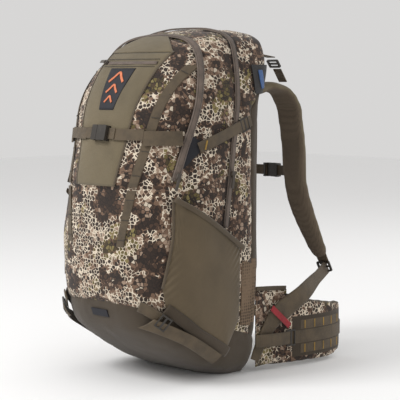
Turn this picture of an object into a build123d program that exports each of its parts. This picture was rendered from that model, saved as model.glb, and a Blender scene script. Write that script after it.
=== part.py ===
"""Hunting backpack: a clamshell pack body on an internal frame, with a padded back, shoulder harness, hip belt,
stretch side pockets, webbing straps and moulded buckles.

Row frame: +Z up, the wearer faces +Y, the front panel faces -Y and +X is the wearer's right. The origin is the centre
of the bounding box on the ground. All sizes are in millimetres.
"""

from build123d import *

import math
import os
from functools import cache

# ---------------------------------------------------------------- driving dimensions
PACK_HEIGHT = 650.0  # top of the pack body above the ground
WALL = 2.5  # padded fabric of the body panels
SEAM_GAP = 1.2  # clearance between panels that a zip joins
LAYER_LOW, LAYER_HIGH = 0.4, 2.4  # a fabric or webbing layer lying on the body
ON_LAYER = (LAYER_HIGH + 0.3, LAYER_HIGH + 1.5)  # a patch or zip sewn on that layer
OVER_LOW, OVER_HIGH = 5.4, 7.4  # a strap lying over that layer
WEB_NARROW, WEB_SMALL, WEB_WIDE = 15.0, 20.0, 25.0  # webbing widths
WEB_T = 2.0  # webbing thickness
RUN = 0.4  # running clearance of plastic parts on webbing and in each other

FOLD_Z = 362.0  # fold line at the foot of the zipped front door
FOLD_Y = -292.0  # hinge line of that fold, just in front of the body
DOOR_SIDE_Y = -227.0  # where the door's zip ends on the flank, at FOLD_Z
DOOR_SLOPE = 0.36  # backward lean of the door's zip
MAIN_ZIP_Y, MAIN_ZIP_Z, MAIN_ZIP_SLOPE = -100.0, 353.0, 0.16  # main compartment zip
BOOT_FRONT_Z, BOOT_FRONT_Y, BOOT_SLOPE = 152.0, -280.0, 0.30  # seam of the bottom boot
BACK_SEAM = [(-34.0, -40.0), (-34.0, 500.0), (14.0, 556.0), (400.0, 556.0)]  # seam of the back wall, as (y, z)

# Stations of the body: height, front, back, half width, squareness of the front corners
STATIONS = [
    (0.0, -85.0, -6.0, 112.0, 2.6),
    (22.0, -140.0, -3.0, 132.0, 2.7),
    (50.0, -190.0, -2.0, 144.0, 2.8),
    (80.0, -235.0, -2.0, 151.0, 2.9),
    (108.0, -264.0, -2.0, 155.0, 2.9),
    (170.0, -283.0, -2.0, 158.0, 2.9),
    (260.0, -290.0, -2.0, 160.0, 2.8),
    (350.0, -289.0, -2.0, 159.0, 2.3),
    (430.0, -273.0, -2.0, 157.0, 2.3),
    (505.0, -252.0, 5.0, 155.0, 2.6),
    (560.0, -222.0, 28.0, 146.0, 2.6),
    (600.0, -186.0, 40.0, 134.0, 2.5),
    (625.0, -150.0, 38.0, 122.0, 2.4),
    (640.0, -112.0, 28.0, 100.0, 2.4),
    (650.0, -60.0, 5.0, 60.0, 2.4),
]
BACK_SQUARENESS = 8.0  # the back of each section is nearly flat
WIDEST = 0.45  # share of the depth, from the back, where the body is widest
LOFT_SECTIONS = 15

OUT = "parts"
os.makedirs(OUT, exist_ok=True)


def save(name, shape):
    """Writes one node as a STEP of its own."""
    solids = ShapeList(shape) if isinstance(shape, (list, tuple)) else shape.solids()
    export_step(Compound(children=[Solid(s.wrapped) for s in solids]), f"{OUT}/{name}.step")


def both_sides(name, right):
    """Writes NAME_right and its mirror image NAME_left."""
    save(f"{name}_right", right)
    save(f"{name}_left", mirror(right, Plane.YZ))


# ---------------------------------------------------------------- the body's form
def station_value(z, column):
    """A station column at height z, by monotone cubic steps between the stations."""
    zs = [s[0] for s in STATIONS]
    vs = [s[column] for s in STATIONS]
    steps = [b - a for a, b in zip(zs, zs[1:])]
    slopes = [(vs[i + 1] - vs[i]) / steps[i] for i in range(len(steps))]
    tangents = [slopes[0]]
    for i in range(1, len(slopes)):
        low, high = slopes[i - 1], slopes[i]
        if low * high <= 0:
            tangents.append(0.0)
            continue
        weight_low, weight_high = 2 * steps[i] + steps[i - 1], steps[i] + 2 * steps[i - 1]
        tangents.append((weight_low + weight_high) / (weight_low / low + weight_high / high))
    tangents.append(slopes[-1])
    i = max(0, min(len(steps) - 1, sum(1 for v in zs if v < z) - 1))
    t = (z - zs[i]) / steps[i]
    return (
        (2 * t**3 - 3 * t**2 + 1) * vs[i]
        + (t**3 - 2 * t**2 + t) * steps[i] * tangents[i]
        + (3 * t**2 - 2 * t**3) * vs[i + 1]
        + (t**3 - t**2) * steps[i] * tangents[i + 1]
    )


def half_section(front, back, half_width, squareness):
    """Points of one half of a plan section, from the front's middle round the +X side to the back's middle."""
    widest_y = back - (back - front) * WIDEST
    points = []
    for step in range(6):
        angle = math.radians(18 * step)
        x = half_width * math.sin(angle) ** (2 / squareness)
        y = widest_y - (widest_y - front) * max(math.cos(angle), 0.0) ** (2 / squareness)
        points.append((x, y if step < 5 else widest_y))
    reach = back - widest_y
    for share in (0.6, 0.9):
        points.append((half_width * (1 - share**BACK_SQUARENESS) ** (1 / BACK_SQUARENESS), widest_y + reach * share))
    for share in (0.7, 0.0):
        points.append((half_width * share, widest_y + reach * (1 - share**BACK_SQUARENESS) ** (1 / BACK_SQUARENESS)))
    return points


def loft_levels():
    """Heights of the loft's sections, evenly spaced along the front profile so that the skin runs smoothly."""
    fine = [PACK_HEIGHT * i / 1300 for i in range(1301)]
    run = [0.0]
    for low, high in zip(fine, fine[1:]):
        run.append(run[-1] + math.hypot(high - low, station_value(high, 1) - station_value(low, 1)))
    targets = [run[-1] * i / (LOFT_SECTIONS - 1) for i in range(LOFT_SECTIONS)]
    return [fine[min(sum(1 for r in run if r < t - 1e-9), len(fine) - 1)] for t in targets]


@cache
def body_form(grow):
    """The closed form of the body, grown outwards by grow; a shrunk form also keeps off the top and the bottom."""
    wires = []
    for z in loft_levels():
        front, back, half_width, squareness = (station_value(z, column) for column in (1, 2, 3, 4))
        half = half_section(front - grow, back + grow, half_width + grow, squareness)
        ring = half + [(-x, y) for x, y in reversed(half[1:-1])]
        level = z - grow if z == 0 and grow < 0 else z + min(grow, 0) if z == PACK_HEIGHT else z
        wires.append(Wire([Edge.make_spline([(x, y, level) for x, y in ring], periodic=True)]))
    return Solid.make_loft(wires)


def profile(points, low_x=-400.0, high_x=400.0):
    """A prism along X over a closed outline of (y, z) points."""
    face = Face(Wire.make_polygon([(low_x, y, z) for y, z in points], close=True))
    return Solid.extrude(face, Vector(high_x - low_x, 0, 0))


def block(x, y, z):
    """A box from (low, high) pairs."""
    return Pos((x[0] + x[1]) / 2, (y[0] + y[1]) / 2, (z[0] + z[1]) / 2) * Box(x[1] - x[0], y[1] - y[0], z[1] - z[0])


def door_zip_y(z):
    return DOOR_SIDE_Y + (z - FOLD_Z) * DOOR_SLOPE


def main_zip_y(z):
    return MAIN_ZIP_Y + (z - MAIN_ZIP_Z) * MAIN_ZIP_SLOPE


def boot_z(y):
    return BOOT_FRONT_Z - (y - BOOT_FRONT_Y) * BOOT_SLOPE


FAR_Y, TOP, LOW = 400.0, 720.0, -40.0  # bounds of the cutting prisms
HALF_GAP = SEAM_GAP / 2


def laid(cutter, low=LAYER_LOW, high=LAYER_HIGH):
    """The part of a cutting prism that lies on the body as a flat layer between two grown forms."""
    return (cutter & body_form(high)) - body_form(low)


def flank_x(y, z):
    """Half width of the body at depth y and height z, on the front part of a section."""
    front, back, half_width, squareness = (station_value(z, column) for column in (1, 2, 3, 4))
    widest_y = back - (back - front) * WIDEST
    share = abs(widest_y - y) / (widest_y - front if y < widest_y else back - widest_y)
    power = squareness if y < widest_y else BACK_SQUARENESS
    return half_width * (1 - min(share, 1.0) ** power) ** (1 / power)


def pair(shape):
    """A shape and its mirror image, as a group of separate solids."""
    return [*shape.solids(), *mirror(shape, Plane.YZ).solids()]


# ---------------------------------------------------------------- panels of the body
door_region = profile(
    [
        (-FAR_Y, FOLD_Z + HALF_GAP),
        (DOOR_SIDE_Y - HALF_GAP, FOLD_Z + HALF_GAP),
        (door_zip_y(TOP) - HALF_GAP, TOP),
        (-FAR_Y, TOP),
    ]
)


def body_panels():
    """The sewn panels of the pack body, each cut from the padded shell along its seams."""
    above_boot = profile([(-FAR_Y, boot_z(-FAR_Y)), (FAR_Y, boot_z(FAR_Y)), (FAR_Y, TOP), (-FAR_Y, TOP)])
    lower_front = profile(
        [(-FAR_Y, LOW), (DOOR_SIDE_Y, LOW), (DOOR_SIDE_Y, FOLD_Z - HALF_GAP), (-FAR_Y, FOLD_Z - HALF_GAP)]
    )
    middle = profile(
        [
            (DOOR_SIDE_Y, LOW),
            (DOOR_SIDE_Y, FOLD_Z),
            (door_zip_y(TOP), TOP),
            (main_zip_y(TOP), TOP),
            (main_zip_y(LOW), LOW),
        ]
    )
    rear = profile([(main_zip_y(LOW), LOW), *BACK_SEAM, (FAR_Y, TOP), (main_zip_y(TOP), TOP)])
    back = profile([*BACK_SEAM, (FAR_Y, LOW)])
    below_boot = profile([(-FAR_Y, LOW), (FAR_Y, LOW), (FAR_Y, boot_z(FAR_Y)), (-FAR_Y, boot_z(-FAR_Y))])
    panels = {
        "bottom_boot": below_boot,
        "front_door": door_region,
        "lower_front_panel": lower_front & above_boot,
        "middle_band": middle & above_boot,
        "rear_band": rear & above_boot,
        "back_wall": back & above_boot,
    }
    for name, region in panels.items():
        save(name, laid(region, -WALL, 0.0))


# ---------------------------------------------------------------- inside the body
def frame_parts():
    """The frame sheet and stays that carry the load, and the sleeve for a water bladder."""
    inner_back = -2.0 - WALL
    sheet_back, sheet_front = inner_back - 2.2, inner_back - 3.7
    sheet = block((-105, 105), (sheet_front, sheet_back), (34, 500))
    save("frame_sheet", fillet(sheet.edges().filter_by(Axis.Y), 18))
    stay = block((58, 78), (sheet_front - 3.3, sheet_front - 0.3), (40, 495))
    save("frame_stays", pair(stay))
    back_of_sleeve = sheet_front - 3.6
    sleeve = block((-92, 92), (back_of_sleeve - 14, back_of_sleeve), (150, 480))
    hollow = block((-89, 89), (back_of_sleeve - 12, back_of_sleeve - 2), (152, 481))
    save("hydration_sleeve", sleeve - hollow)


# ---------------------------------------------------------------- padded back
PAD_IN, PAD_OUT, LUMBAR_OUT = 3.2, 26.0, 30.0  # faces of the back padding, behind the body's flat back


def back_padding():
    """Foam columns, the channel mesh between them and the lumbar pad; above them the yoke that the straps leave."""
    column = block((34, 126), (PAD_IN, PAD_OUT), (184, 494))
    column = fillet(column.edges().filter_by(Axis.Z), 9)
    save("back_pads", pair(column - body_form(2.8)))
    save("air_channel_mesh", block((-33, 33), (PAD_IN, 8.0), (184, 494)) - body_form(2.8))
    lumbar = block((-104, 104), (PAD_IN, LUMBAR_OUT), (14, 178))
    save("lumbar_pad", fillet(lumbar.edges().filter_by(Axis.Z), 11))
    save("harness_yoke", laid(block((-112, 112), (-20, 100), (497, 556))))
    mesh = profile([(-66, 100), (-66, 222), (-37, 214), (-37, 96)], 0)
    save("side_mesh", pair(laid(mesh)))


# ---------------------------------------------------------------- layers sewn on the front
PANEL_TOP_X, PANEL_FOOT_X, PANEL_TOP_Z = 82.0, 52.0, 606.0  # plain pocket panel: half widths and top
DAISY_FOOT_X, DAISY_FOOT_Z, DAISY_SPREAD = 68.6, 258.0, 0.165  # upright webbing: foot and slant
STRAP_Z = 458.0  # height of the front strap
STRAP_END_X, BAND_HALF = 96.0, 13.0
EMBLEM_TOP, EMBLEM_FOOT = (33.0, 574.0), (19.0, 500.0)  # half width and height of each end
POCKET_ZIP_Z, POCKET_ZIP_X, POCKET_ZIP_HALF = 584.0, 70.0, 3.0
LABEL_X, LABEL_LOW, LABEL_HIGH = 22.0, 124.0, 138.0  # blank label on the boot


def front_cut(points):
    """A prism along Y, on the front half, over a closed outline of (x, z) points."""
    face = Face(Wire.make_polygon([(x, -FAR_Y, z) for x, z in points], close=True))
    return Solid.extrude(face, Vector(0, FAR_Y - 110, 0))


def daisy_x(z):
    return DAISY_FOOT_X + (z - DAISY_FOOT_Z) * DAISY_SPREAD


def upright(low, high):
    """The outline of a stretch of upright webbing between two heights."""
    half = WEB_NARROW / 2
    return [
        (daisy_x(low) - half, low),
        (daisy_x(low) + half, low),
        (daisy_x(high) + half, high),
        (daisy_x(high) - half, high),
    ]


def front_layers():
    """The plain pocket panel with its zip, the emblem patch and the upright webbings."""
    edge = (PANEL_TOP_X - PANEL_FOOT_X) / (PANEL_TOP_Z - FOLD_Z)

    def panel_x(z):
        return PANEL_FOOT_X + (z - FOLD_Z) * edge

    foot = FOLD_Z + 3
    panel = [(-panel_x(foot), foot), (panel_x(foot), foot), (PANEL_TOP_X, PANEL_TOP_Z), (-PANEL_TOP_X, PANEL_TOP_Z)]
    save("front_pocket", laid(front_cut(panel) & door_region))
    (top_x, top_z), (foot_x, foot_z) = EMBLEM_TOP, EMBLEM_FOOT
    patch = front_cut([(-top_x, top_z), (top_x, top_z), (foot_x, foot_z), (-foot_x, foot_z)])
    save("emblem_patch", laid(patch, *ON_LAYER))
    low, high, end = POCKET_ZIP_Z - POCKET_ZIP_HALF, POCKET_ZIP_Z + POCKET_ZIP_HALF, POCKET_ZIP_X
    zip_cut = front_cut([(-end, low), (end, low), (end, high), (-end, high)])
    save("pocket_zip", laid(zip_cut, *ON_LAYER))
    save("daisy_webbing_upper", pair(laid(front_cut(upright(FOLD_Z + 3, 582)) & door_region)))
    save("daisy_webbing_lower", pair(laid(front_cut(upright(DAISY_FOOT_Z, FOLD_Z - 3)))))
    corners = [(-LABEL_X, LABEL_LOW), (LABEL_X, LABEL_LOW), (LABEL_X, LABEL_HIGH), (-LABEL_X, LABEL_HIGH)]
    save("blank_label", laid(front_cut(corners)))


def zip_tapes():
    """The coil zips: one round the door, sewn to the band behind it, and one round the main compartment."""
    near, far = HALF_GAP, HALF_GAP + 8.0
    door_tape = profile(
        [
            (DOOR_SIDE_Y + near, FOLD_Z),
            (door_zip_y(TOP) + near, TOP),
            (door_zip_y(TOP) + far, TOP),
            (DOOR_SIDE_Y + far, FOLD_Z),
        ]
    )
    save("door_zip", laid(door_tape))
    low, half = 300.0, 5.0
    main_tape = profile(
        [
            (main_zip_y(low) - half, low),
            (main_zip_y(low) + half, low),
            (main_zip_y(TOP) + half, TOP),
            (main_zip_y(TOP) - half, TOP),
        ]
    )
    save("main_zip", laid(main_tape))


# ---------------------------------------------------------------- side pockets
POCKET_OUT, POCKET_T = 11.0, 2.0  # how far a side pocket stands out, and its fabric
POCKET = [  # its outline on the flank, as (y, z), from the top edge's front corner
    (-221.0, 344.0),
    (-72.0, 246.0),
    (-70.0, 113.0),
    (-95.0, 54.0),
    (-176.0, 100.0),
    (-236.0, 150.0),
    (-243.0, 186.0),
    (-237.0, 226.0),
    (-228.0, 276.0),
]


def side_pockets():
    """A stretch pocket on each flank, open along its slanted top edge."""
    outline = profile(POCKET, 0)
    inner = outline & Pos(0, POCKET_T, 0) * outline & Pos(0, -POCKET_T, 0) * outline & Pos(0, 0, POCKET_T) * outline
    mouth = Pos(0, 0, 30) * inner
    cavity = body_form(POCKET_OUT - POCKET_T) & (inner + mouth)
    pocket = (body_form(POCKET_OUT) & outline) - cavity - body_form(LAYER_LOW)
    pocket = max(pocket.solids(), key=lambda solid: solid.volume)
    both_sides("side_pocket", pocket)


# ---------------------------------------------------------------- straps round the flanks
SIDE_STRAP = [(-174.0, 434.0), (-44.0, 481.0)]  # compression strap, foot to head, as (y, z)
GUSSET_T = 1.4  # how far a gusset stands out
GUSSET = [(-204.0, 396.0), (-183.0, 456.0), (-156.0, 438.0)]  # gusset behind the door's zip, as (y, z)
LASH = [(-262.0, 122.0), (-196.0, 88.0), (-120.0, 42.0)]  # lash strap across the foot of the pocket


def band_outline(points, width):
    """The outline of a strap of the given width along a line of (y, z) points."""
    upper, lower = [], []
    for i, (y, z) in enumerate(points):
        (y0, z0), (y1, z1) = points[max(i - 1, 0)], points[min(i + 1, len(points) - 1)]
        length = math.hypot(y1 - y0, z1 - z0)
        ny, nz = -(z1 - z0) / length * width / 2, (y1 - y0) / length * width / 2
        upper.append((y + ny, z + nz))
        lower.append((y - ny, z - nz))
    return upper + lower[::-1]


def flank_straps():
    """A compression strap on each flank with the gusset at its foot, and a lash strap low round each corner."""
    save("gussets", pair(laid(profile(GUSSET, 0), LAYER_LOW, GUSSET_T)))
    strap = laid(profile(band_outline(SIDE_STRAP, WEB_SMALL), 0), OVER_LOW, OVER_HIGH)
    save("compression_straps", pair(strap))
    lash_on = POCKET_OUT + 1.0
    lash = laid(profile(band_outline(LASH, WEB_SMALL), 0), lash_on, lash_on + WEB_T)
    save("lash_straps", pair(lash))
    save("hydration_port", laid(block((100, 200), (-24, 60), (530, 584)), *ON_LAYER))


# ---------------------------------------------------------------- moulded hardware
def side_release_buckle(web):
    """(socket, plug) lying along X on a webbing whose top face is at z 0. The plug leaves the socket towards -X and
    slides on the webbing; a bar of each half passes under it."""
    width, height, wall = web + 8.0, 8.0, 1.6
    socket_length, base_length, prong_length = 0.9 * web + 6.0, 0.45 * web + 5.0, 0.7 * web
    bar_low, bar_high = -WEB_T - RUN - 1.8, -WEB_T - RUN

    def yoke(low, high):
        """Rails beside the webbing and the bar under it."""
        rail = block((low, high), (web / 2 + RUN, width / 2), (bar_low, 1.0))
        bar = block((low + 1, high - 1), (-width / 2, width / 2), (bar_low, bar_high))
        return rail + mirror(rail, Plane.XZ) + bar

    socket = fillet(block((0, socket_length), (-width / 2, width / 2), (RUN, height)).edges().filter_by(Axis.Z), 2.5)
    cavity = block((-1, prong_length + 1.2), (-web / 2 - 0.5, web / 2 + 0.5), (RUN + wall, height - wall))
    window = block((prong_length * 0.35, prong_length + 1.2), (-width, width), (RUN + wall, height - wall))
    socket = socket - cavity - window + yoke(socket_length - 6, socket_length)
    plug = fillet(block((-base_length, -0.6), (-width / 2, width / 2), (RUN, height)).edges().filter_by(Axis.Z), 2.5)
    low, high = RUN + wall + 0.5, height - wall - 0.5
    prong = block((-2, prong_length), (web / 2 - 0.16 * web, web / 2), (low, high))
    guide = block((-2, prong_length * 0.8), (-web * 0.1, web * 0.1), (low, high))
    plug = plug + prong + mirror(prong, Plane.XZ) + guide + yoke(-base_length, -base_length + 6)
    return socket, plug


def ladder_lock(web):
    """A flat three-bar slide centred on the origin with its webbing along X."""
    width, length, bar = web + 9.0, 0.9 * web, 3.0
    frame = fillet(block((-length / 2, length / 2), (-width / 2, width / 2), (0, 3.4)).edges().filter_by(Axis.Z), 2.4)
    slot = block((bar / 2, length / 2 - bar), (-web / 2 - 0.6, web / 2 + 0.6), (-1, 5))
    return frame - slot - mirror(slot, Plane.YZ)


def front_plane(z, lift, x=0.0):
    """A plane on the front face at height z, with X across and Z outwards."""
    rise = (station_value(z + 5, 1) - station_value(z - 5, 1)) / 10
    out = Vector(0, -1, rise).normalized()
    return Plane(Vector(x, station_value(z, 1), z) + out * lift, x_dir=(1, 0, 0), z_dir=out)


def front_strap():
    """The strap across the door: webbing, the wide bands sewn over its ends and the buckle at its middle."""
    half = WEB_SMALL / 2
    side = block((36, STRAP_END_X), (-FAR_Y, -150), (STRAP_Z - half, STRAP_Z + half))
    sides = laid(side, OVER_LOW, OVER_HIGH)
    middle = front_plane(STRAP_Z, OVER_HIGH - WEB_T) * block((-40, 40), (-half, half), (-0.5, WEB_T - 0.5))
    strap = sides + mirror(sides, Plane.YZ) + middle
    save("front_strap", strap)
    band_front = profile([(-FAR_Y, 0), (door_zip_y(STRAP_Z) - 12, 0), (door_zip_y(STRAP_Z) - 12, TOP), (-FAR_Y, TOP)])
    band = block((STRAP_END_X + 0.5, 200), (-FAR_Y, 0), (STRAP_Z - BAND_HALF - 6, STRAP_Z + BAND_HALF - 6))
    save("front_bands", pair(laid(band & band_front, OVER_LOW, OVER_HIGH)))
    socket, plug = side_release_buckle(WEB_SMALL)
    place = front_plane(STRAP_Z, OVER_HIGH - 0.5)
    save("front_buckle_socket", place * socket)
    save("front_buckle_plug", place * plug)


# ---------------------------------------------------------------- zip sliders
SLIDER_LIFT = 3.2  # clearance of a slider over its tape
DOOR_SLIDER_Z, MAIN_SLIDER_Z = 384.0, 384.0


def zip_slider():
    """A slider body with its pull, lying along X with its back at z 0."""
    body = fillet(block((-6, 6), (-4.5, 4.5), (0, 3.5)).edges().filter_by(Axis.Z), 2)
    return body + block((-26, -2), (-3, 3), (3.2, 5.0))


def slider_place(y, z, rise):
    """A plane on the flank with X up the zip, whose depth changes by rise per unit of height."""
    return Plane((flank_x(y, z) + LAYER_HIGH + SLIDER_LIFT, y, z), x_dir=(0, rise, 1), z_dir=(1, 0, 0))


def zip_sliders():
    door_y = door_zip_y(DOOR_SLIDER_Z) + 4
    both_sides("door_zip_slider", slider_place(door_y, DOOR_SLIDER_Z, DOOR_SLOPE) * zip_slider())
    main_y = main_zip_y(MAIN_SLIDER_Z)
    both_sides("main_zip_slider", slider_place(main_y, MAIN_SLIDER_Z, MAIN_ZIP_SLOPE) * zip_slider())
    x = -61.0
    rise = (station_value(POCKET_ZIP_Z + 5, 1) - station_value(POCKET_ZIP_Z - 5, 1)) / 10
    out = Vector(-0.42, -1, rise).normalized()
    depth = [p for p in front_points(POCKET_ZIP_Z) if p[0] >= -x][0]
    origin = Vector(x, depth[1], POCKET_ZIP_Z) + out * (LAYER_HIGH + 3.2)
    save("pocket_zip_slider", Plane(origin, x_dir=(1, -0.42, 0), z_dir=out) * zip_slider())


def front_points(z):
    """Close points of the front outline at height z, from the middle outwards."""
    front, back, half_width, squareness = (station_value(z, column) for column in (1, 2, 3, 4))
    widest_y = back - (back - front) * WIDEST
    xs = [half_width * i / 200 for i in range(200)]
    return [(x, widest_y - (widest_y - front) * (1 - (x / half_width) ** squareness) ** (1 / squareness)) for x in xs]


# ---------------------------------------------------------------- shoulder harness
STRAP_PATH = [  # centre line of the right shoulder strap, from the yoke to the ladder lock
    (58.0, 32.0, 514.0),
    (62.0, 62.0, 535.0),
    (66.0, 100.0, 547.0),
    (70.0, 140.0, 537.0),
    (72.0, 164.0, 505.0),
    (74.0, 175.0, 445.0),
    (80.0, 176.0, 349.0),
    (90.0, 180.0, 305.0),
    (103.0, 190.0, 262.0),
    (117.0, 199.0, 220.0),
    (127.0, 206.0, 196.0),
]
STRAP_WIDTHS = [66.0, 70.0, 72.0, 72.0, 72.0, 72.0, 70.0, 68.0, 62.0, 50.0, 36.0]
STRAP_T = 14.0
LOWER_PATH = [  # webbing and gusset from the ladder lock to the foot of the body
    (131.4, 215.0, 181.4),
    (155.0, 150.0, 163.0),
    (167.0, 98.0, 142.0),
    (150.0, 42.0, 103.0),
    (141.0, 12.0, 60.0),
    (137.0, -6.0, 22.0),
]
LOWER_WIDTHS = [WEB_WIDE, WEB_WIDE, 38.0, 46.0, 30.0, 22.0]
STERNUM_Z, STERNUM_Y = 372.0, 185.5  # height of the sternum strap and its inner face


def strap_along(points, widths, thickness, across):
    """A flat strap lofted through rectangles square to its path; across hints at its width's direction."""
    wires = []
    vectors = [Vector(*p) for p in points]
    for i, (point, width) in enumerate(zip(vectors, widths)):
        along = (vectors[min(i + 1, len(vectors) - 1)] - vectors[max(i - 1, 0)]).normalized()
        wide = Vector(*across)
        wide = (wide - along * wide.dot(along)).normalized()
        thick = along.cross(wide)
        corners = [(1, 1), (1, -1), (-1, -1), (-1, 1)]
        ring = [point + wide * (a * width / 2) + thick * (b * thickness / 2) for a, b in corners]
        wires.append(Wire.make_polygon(ring, close=True))
    return Solid.make_loft(wires, ruled=True)


def lock_between(start, end, web, across):
    """A ladder lock at the middle of a stretch of webbing."""
    start, end = Vector(*start), Vector(*end)
    along = (end - start).normalized()
    return Plane((start + end) * 0.5, x_dir=along, z_dir=along.cross(Vector(*across)).normalized()) * ladder_lock(web)


def harness():
    """The padded shoulder straps with their locks, load lifters and lower webbing."""
    right = strap_along(STRAP_PATH, STRAP_WIDTHS, STRAP_T, (1, 0, 0))
    both_sides("shoulder_strap", right)
    lock = lock_between((127.8, 207.6, 191.9), (130.9, 215.0, 172.4), WEB_WIDE, (1, 0, 0))
    save("strap_locks", pair(lock))
    lifter_lock = lock_between((72, 113, 597), (72, 126, 580), WEB_SMALL, (1, 0, 0))
    save("lifter_locks", pair(lifter_lock))
    tail = strap_along([(72, 128, 577), (72, 146, 552)], [WEB_SMALL] * 2, WEB_T, (1, 0, 0))
    save("lifter_tails", pair(tail - right))
    lifter = strap_along([(72, 44, 607), (72, 80, 603), (72, 111, 599)], [WEB_SMALL] * 3, WEB_T, (1, 0, 0))
    save("lifter_webbing", pair(lifter - body_form(LAYER_HIGH)))
    lower = strap_along(LOWER_PATH, LOWER_WIDTHS, WEB_T, (0, -1, 1))
    save("lower_webbing", pair(lower - lock))
    tab = strap_along([(155.0, 24, 122), (160.0, 70, 82)], [12.0] * 2, 1.2, (0, 1, 1))
    save("red_tabs", pair(tab))


def sternum_strap():
    """The sternum strap: clips that slide on the shoulder straps, webbing and the buckle between them."""
    half = WEB_SMALL / 2
    webbing = block((24 - 7, 66), (STERNUM_Y, STERNUM_Y + WEB_T), (STERNUM_Z - half, STERNUM_Z + half))
    left = block((-66, -7), (STERNUM_Y, STERNUM_Y + WEB_T), (STERNUM_Z - half, STERNUM_Z + half))
    save("sternum_webbing", [*webbing.solids(), *left.solids()])
    clip = block((66.2, 86), (STERNUM_Y, STERNUM_Y + 4.5), (STERNUM_Z - half - 2, STERNUM_Z + half + 2))
    save("sternum_clips", pair(fillet(clip.edges().filter_by(Axis.Y), 3)))
    socket, plug = side_release_buckle(WEB_SMALL)
    place = Plane((0, STERNUM_Y + WEB_T, STERNUM_Z), x_dir=(1, 0, 0), z_dir=(0, 1, 0))
    save("sternum_buckle_socket", place * socket)
    save("sternum_buckle_plug", place * plug)


# ---------------------------------------------------------------- hip belt
BELT_PATH = [  # centre line of the right half, in plan, from the back to the belt's middle
    (114.0, 38.0),
    (136.0, 64.0),
    (149.0, 105.0),
    (155.0, 155.0),
    (148.0, 212.0),
    (118.0, 254.0),
    (74.0, 270.0),
    (33.0, 272.0),
]
BELT_T = 16.0
WING_END, MOLLE_START, WEBBING_START = 0.66, 0.24, 0.13  # as shares of the path
BELT_PROFILE = [  # side outline of a wing, as (y, z); its foot stands on the ground
    (20.0, 170.0),
    (75.0, 150.0),
    (118.0, 135.0),
    (235.0, 114.0),
    (275.0, 98.0),
    (275.0, 38.0),
    (240.0, 10.0),
    (195.0, 0.0),
    (50.0, 0.0),
    (20.0, 6.0),
]
ROW_LOW, WEB_ROW, ROW_HIGH = (24.0, 42.0), (44.0, 69.0), (71.0, 89.0)  # heights of the webbing rows
BUCKLE_GAP = 14.0  # each half of the open buckle stays this far from the middle


def belt_strip(inner, outer, start, end, low, high):
    """A strip along the belt path between two offsets from it, two shares of its length and two heights."""
    path = Edge.make_spline([Vector(x, y, low) for x, y in BELT_PATH])
    inside, outside = [], []
    steps = 18
    for i in range(steps + 1):
        share = start + (end - start) * i / steps
        point, along = path.position_at(share), path.tangent_at(share)
        out = Vector(along.Y, -along.X, 0).normalized()
        inside.append(point + out * inner)
        outside.append(point + out * outer)
    inner_edge, outer_edge = Edge.make_spline(inside), Edge.make_spline(outside)
    ends = [Edge.make_line(inside[0], outside[0]), Edge.make_line(inside[-1], outside[-1])]
    return Solid.extrude(Face(Wire([inner_edge, ends[1], outer_edge, ends[0]])), Vector(0, 0, high - low))


def hip_belt():
    """The padded wings, the rows of webbing sewn on them, and the belt webbing with its buckle."""
    face = BELT_T / 2
    wing = belt_strip(-face, face, 0.0, WING_END, 0, 175) & profile(BELT_PROFILE, 0)
    both_sides("belt_wing", wing)
    rows = [belt_strip(face + 0.4, face + 2.4, MOLLE_START, WING_END - 0.06, *row) for row in (ROW_LOW, ROW_HIGH)]
    both_sides("belt_rows", Compound(children=[Solid(row.solids()[0].wrapped) for row in rows]))
    webbing = belt_strip(face + 0.4, face + 2.4, WEBBING_START, 1.0, *WEB_ROW)
    both_sides("belt_webbing", webbing)
    web_z, web_y = sum(WEB_ROW) / 2, BELT_PATH[-1][1] + face + 2.4
    socket, plug = side_release_buckle(WEB_WIDE)
    place = Plane((-BUCKLE_GAP, web_y + 0.3, web_z), x_dir=(-1, 0, 0), z_dir=(0, 1, 0))
    save("belt_buckle_socket", place * socket)
    reach = 0.7 * WEB_WIDE + 2 * BUCKLE_GAP
    save("belt_buckle_plug", Pos(reach, 0, 0) * (place * plug))


# ---------------------------------------------------------------- haul handle
HANDLE_AXIS = (47.0, 600.0)  # (y, z) of the line that the handle swings about


def haul_handle():
    """A rolled webbing handle hanging from two tabs behind the top of the body."""
    y, z = HANDLE_AXIS
    path = FilletPolyline((-38, y, z - 5), (-38, y, z - 24), (38, y, z - 24), (38, y, z - 5), radius=11)
    save("haul_handle", sweep(Plane((-38, y, z - 5), z_dir=(0, 0, -1)) * Circle(4.5), path=path))
    tab = block((29, 47), (30, y - 0.6), (z + 0.4, z + 14)) - body_form(LAYER_LOW)
    save("handle_tabs", pair(tab))


def main():
    body_panels()
    frame_parts()
    back_padding()
    front_layers()
    zip_tapes()
    side_pockets()
    flank_straps()
    front_strap()
    zip_sliders()
    harness()
    sternum_strap()
    hip_belt()
    haul_handle()


if __name__ == "__main__":
    main()
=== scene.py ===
"""A hunting backpack: fabric, padding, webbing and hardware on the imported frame. Metres, +Z up, wearer towards +Y."""
import math

import bmesh
import bpy
import numpy as np
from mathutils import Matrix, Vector, noise
from mathutils.bvhtree import BVHTree
from mathutils.kdtree import KDTree


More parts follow.
